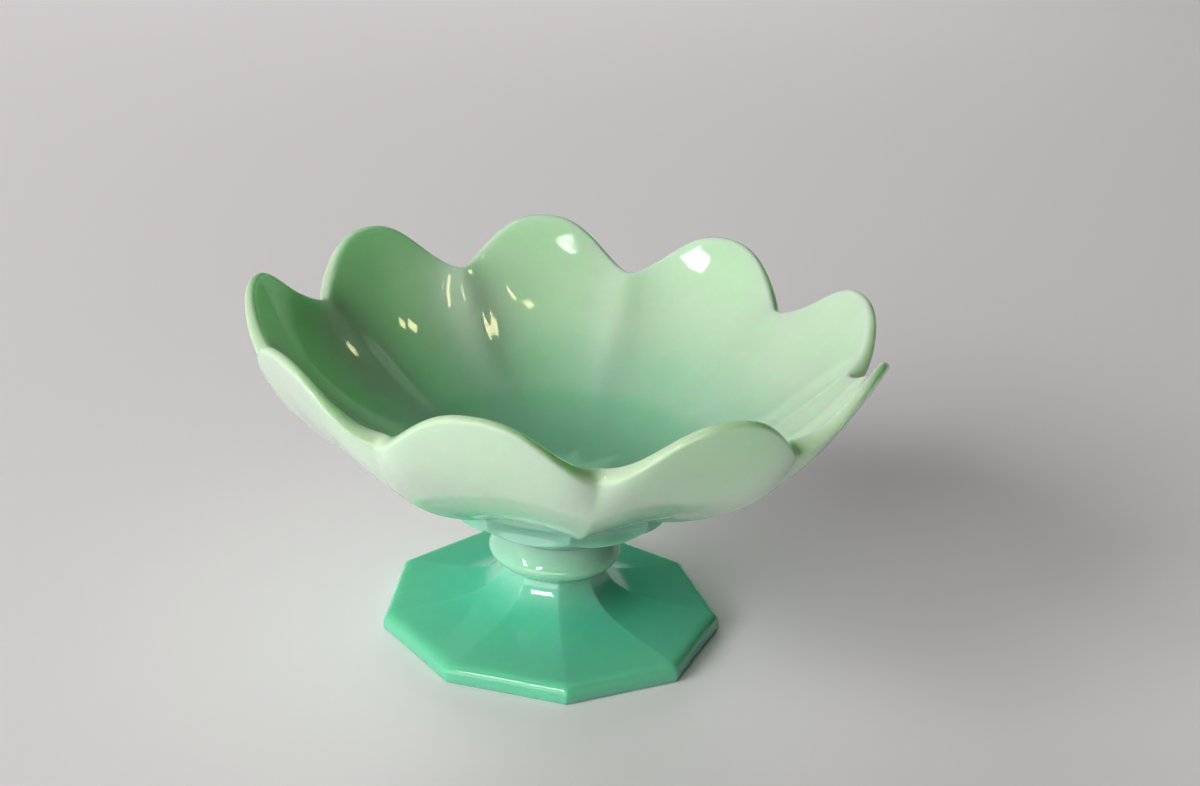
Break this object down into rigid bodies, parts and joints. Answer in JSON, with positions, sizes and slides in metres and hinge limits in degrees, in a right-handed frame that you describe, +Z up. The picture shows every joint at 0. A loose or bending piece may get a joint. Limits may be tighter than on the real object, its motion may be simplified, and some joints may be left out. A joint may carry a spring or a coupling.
{
  "type": "footed compote bowl",
  "caption": "Open bowl shaped like a lotus flower, with petals over a stepped calyx, on a round knop and a faceted foot with a wide flat base.",
  "frame": {"origin": "centre of the foot's flat base, on the plane that the bowl stands on", "axes": "+Z up along the bowl's axis, -Y through a seam between two petals and a corner of the foot, +Y through the tip of the petal opposite"},
  "size_m": [0.1776, 0.1761, 0.0978],
  "materials": {
    "pale_jade_glass": "gloss",
    "jade_glass": "gloss",
    "deep_jade_glass": "gloss"
  },
  "bodies": {
    "root": {"bowl": "pale_jade_glass", "knop": "jade_glass", "foot": "deep_jade_glass"}
  },
  "joints": []
}
